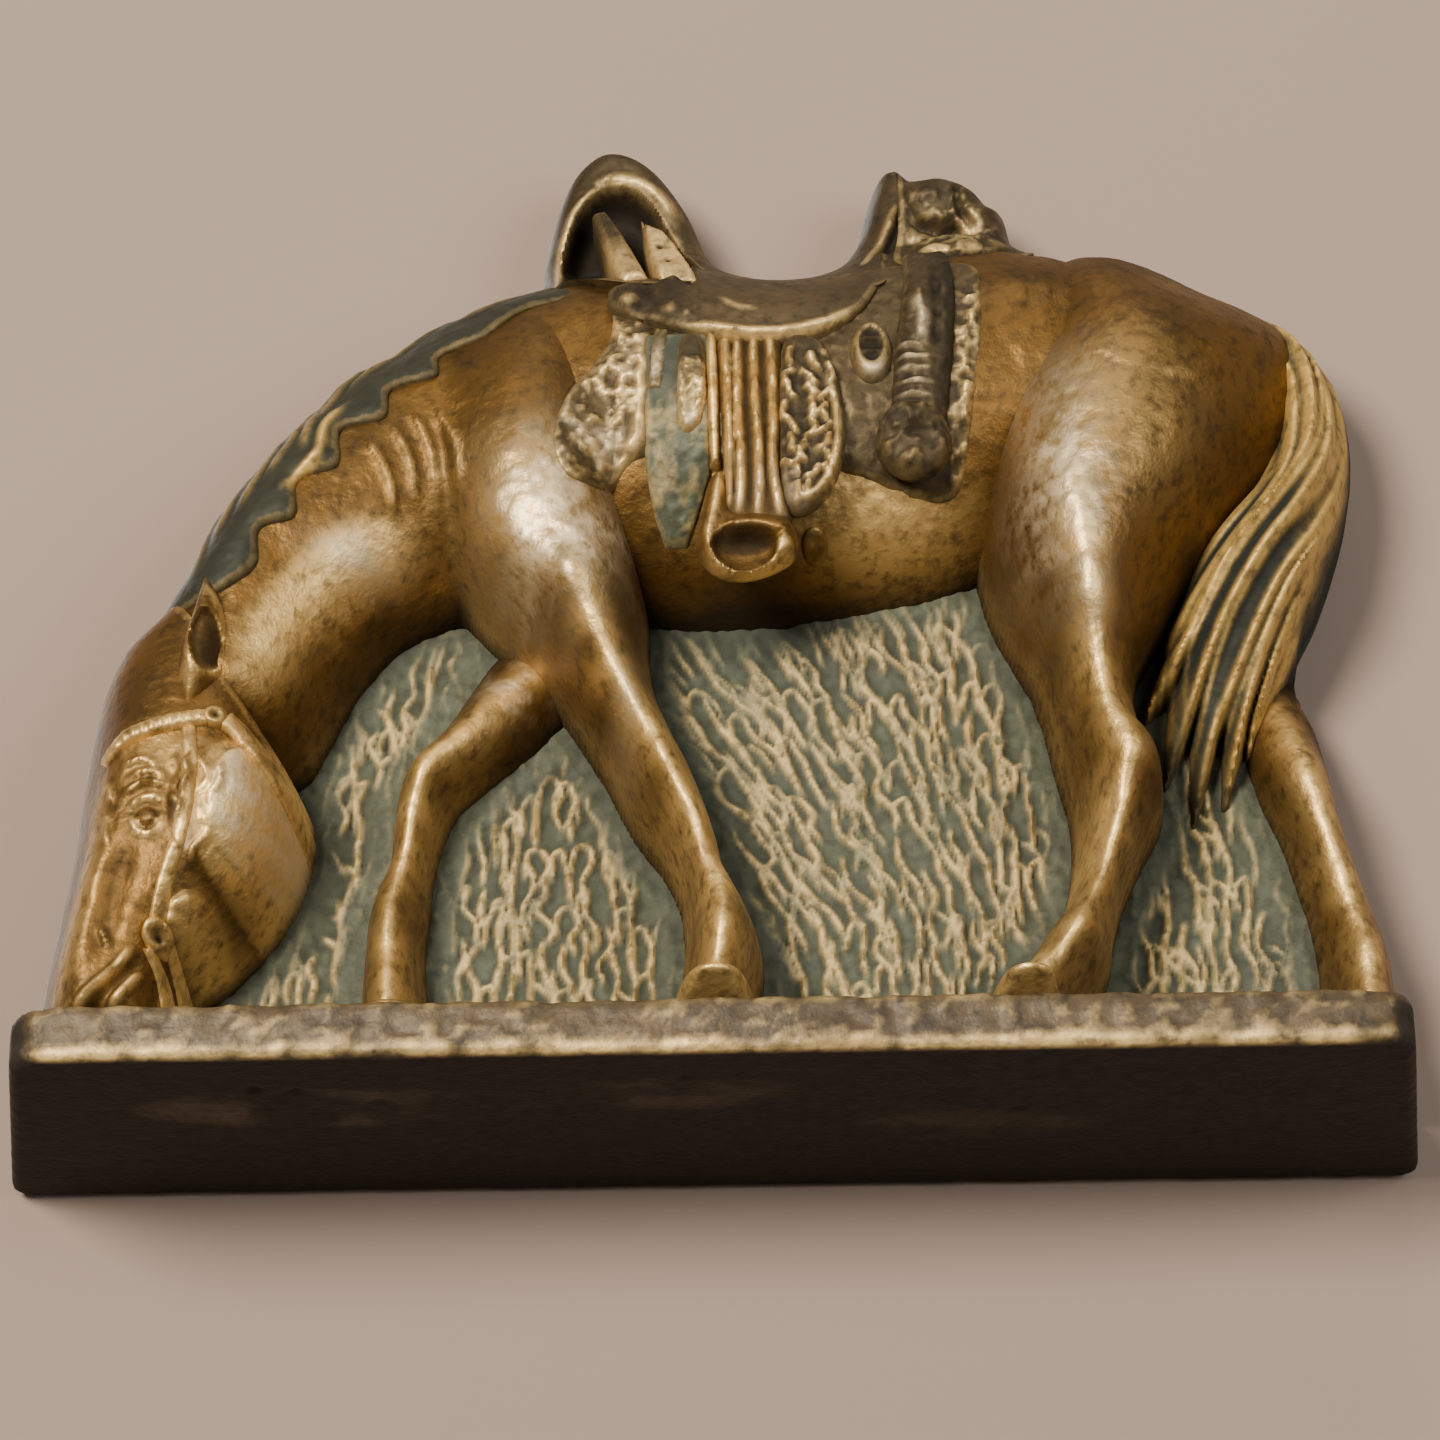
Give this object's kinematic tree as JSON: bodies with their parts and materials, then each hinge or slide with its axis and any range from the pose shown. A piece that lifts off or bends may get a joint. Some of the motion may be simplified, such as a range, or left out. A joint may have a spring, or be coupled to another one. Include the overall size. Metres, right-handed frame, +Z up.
{
  "type": "horse relief figurine",
  "caption": "One-sided bronze relief of a saddled horse grazing, cut to its outline with a grass ground between the legs, on a flat slab base.",
  "frame": {"origin": "centre of the underside of the slab, on the surface the figure stands on", "axes": "+Z up, -Y out of the modelled front of the relief, +Y out of its flat back, +X towards the tail (to the right seen from the front)"},
  "size_m": [0.1474, 0.043, 0.1207],
  "materials": {
    "worn_bronze": "worn golden brown patina on cast bronze",
    "rubbed_silver_bronze": "high spots rubbed to a silvery grey brown, pitted",
    "dark_bronze": "dark olive brown patina",
    "leather_toned_bronze": "brown patina with pale scuffed ridges",
    "verdigris_ground": "grey green patina with tan rubbed ridges",
    "black_brown_slab": "black brown patina, worn bright at the front edge"
  },
  "bodies": {
    "root": {"base_slab": "black_brown_slab", "backing_plate": "verdigris_ground", "near_ear": "worn_bronze", "near_fore_hoof": "dark_bronze", "near_foreleg": "worn_bronze", "near_hind_hoof": "dark_bronze", "near_hind_leg": "worn_bronze", "far_fore_hoof": "dark_bronze", "far_hind_hoof": "dark_bronze", "shoulder": "rubbed_silver_bronze", "haunch": "rubbed_silver_bronze", "head": "worn_bronze", "mane": "dark_bronze", "neck": "worn_bronze", "far_foreleg": "worn_bronze", "tail": "worn_bronze", "far_hind_leg": "worn_bronze", "barrel": "worn_bronze", "grass_by_head": "verdigris_ground", "grass_between_forelegs": "verdigris_ground", "grass_under_belly": "verdigris_ground", "grass_between_hind_legs": "verdigris_ground", "saddle_blanket": "verdigris_ground", "cinch": "verdigris_ground", "stirrup_concho": "worn_bronze", "stirrup": "worn_bronze", "horn_cap": "worn_bronze", "fork_post_front": "worn_bronze", "fork_post_rear": "worn_bronze", "pommel_lining": "dark_bronze", "pommel": "dark_bronze", "cantle": "dark_bronze", "bedroll": "leather_toned_bronze", "seat": "dark_bronze", "scabbard": "leather_toned_bronze", "canteen": "dark_bronze", "pouch": "dark_bronze", "fender": "leather_toned_bronze", "woolly_flap": "leather_toned_bronze", "tie_strap": "worn_bronze", "tie_tassel": "leather_toned_bronze", "front_strap": "leather_toned_bronze", "skirt": "dark_bronze", "brow_concho": "worn_bronze", "bit": "worn_bronze", "browband": "worn_bronze", "throatlatch": "worn_bronze", "cheekpiece": "worn_bronze", "rein_off": "worn_bronze", "rein_near": "worn_bronze"}
  },
  "joints": []
}
